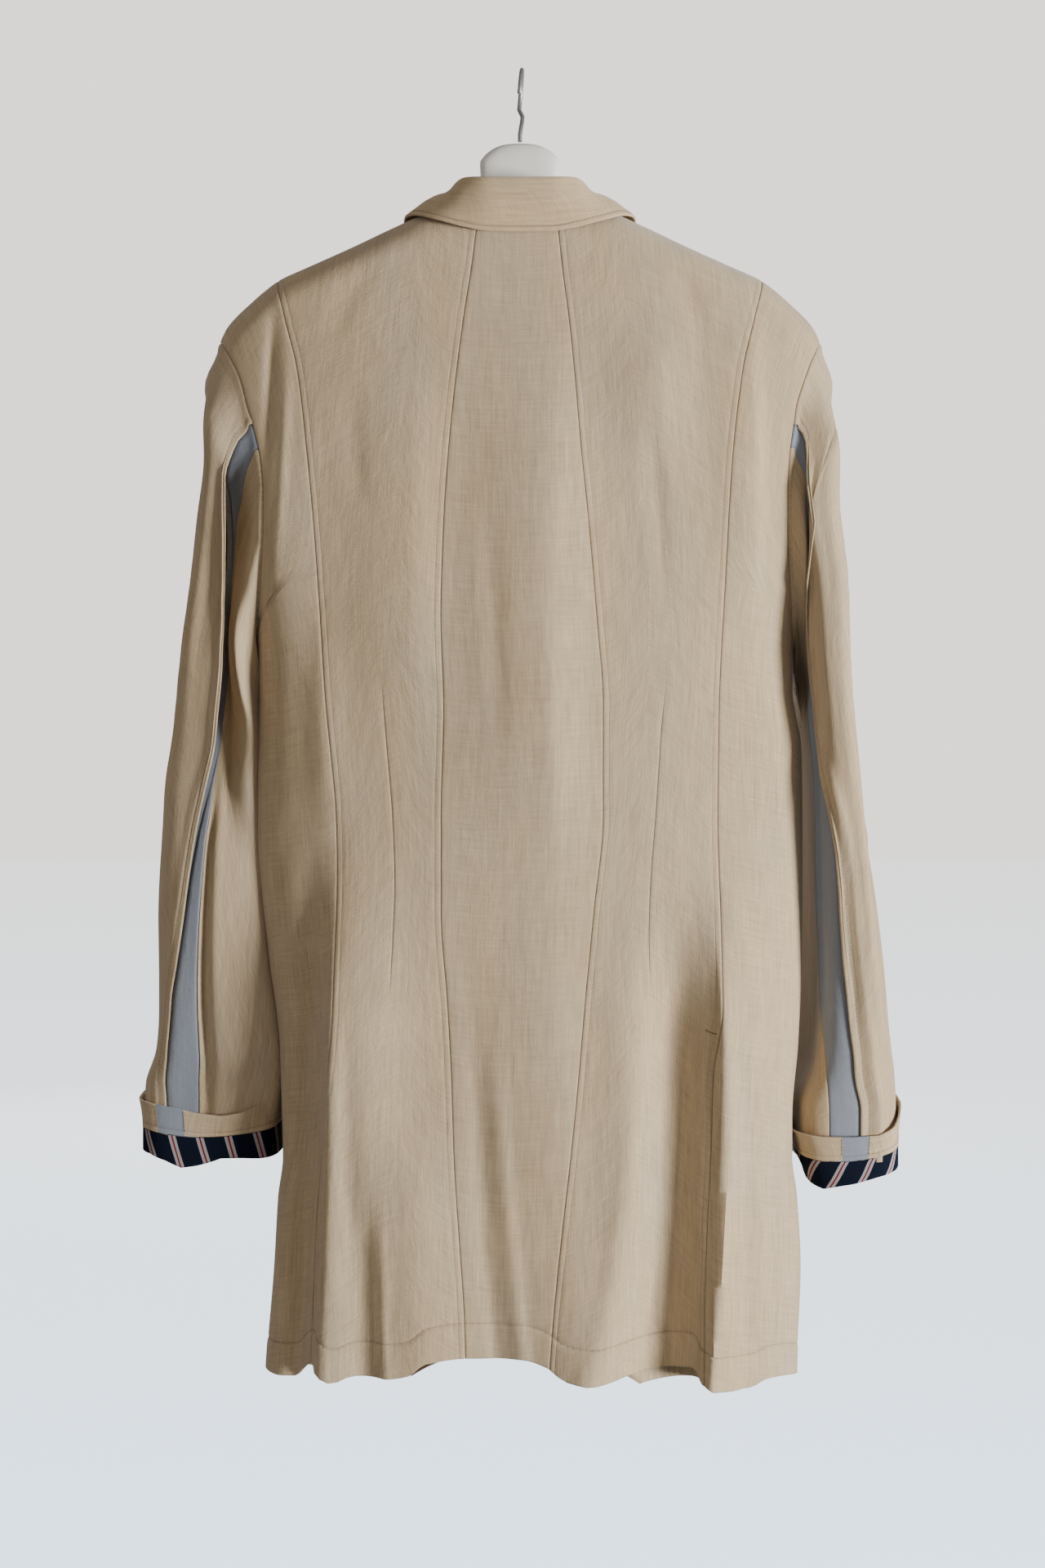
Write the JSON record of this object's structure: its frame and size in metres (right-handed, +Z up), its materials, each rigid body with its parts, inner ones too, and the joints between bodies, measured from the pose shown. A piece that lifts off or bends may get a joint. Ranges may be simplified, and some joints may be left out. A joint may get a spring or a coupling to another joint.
{
  "type": "linen blazer on a hanger",
  "caption": "Long soft linen blazer in natural beige, hung on a contoured hanger with a wire hook, sleeves turned back to show a dark striped lining.",
  "frame": {"origin": "inside top of the hanger's hook, where it bears on what it hangs from", "axes": "+Z up, -Y towards the blazer's front, +X towards the wearer's left"},
  "size_m": [0.6068, 0.1947, 1.0545],
  "materials": {
    "linen": "matt plain-weave linen, natural beige",
    "strip_linen": "matt grey-blue linen",
    "striped_lining": "smooth dark navy lining with fine stripes",
    "button_horn": "dark horn effect, softly polished",
    "hanger_plastic": "ivory white, satin",
    "hook_wire": "drawn steel wire"
  },
  "bodies": {
    "root": {"back_centre": "linen", "back_side_left": "linen", "back_side_right": "linen", "back_outer_left": "linen", "back_outer_right": "linen", "front_left": "linen", "front_right": "linen", "lapel_left": "linen", "lapel_right": "linen", "collar": "linen", "sleeve_top_left": "linen", "sleeve_top_right": "linen", "sleeve_stripe_left": "strip_linen", "sleeve_stripe_right": "strip_linen", "sleeve_under_left": "linen", "sleeve_under_right": "linen", "cuff_band_left": "linen", "cuff_band_right": "linen", "cuff_lining_left": "striped_lining", "cuff_lining_right": "striped_lining", "button_1": "button_horn", "button_2": "button_horn", "button_3": "button_horn", "hanger": "hanger_plastic", "hanger_hook": "hook_wire"}
  },
  "joints": []
}
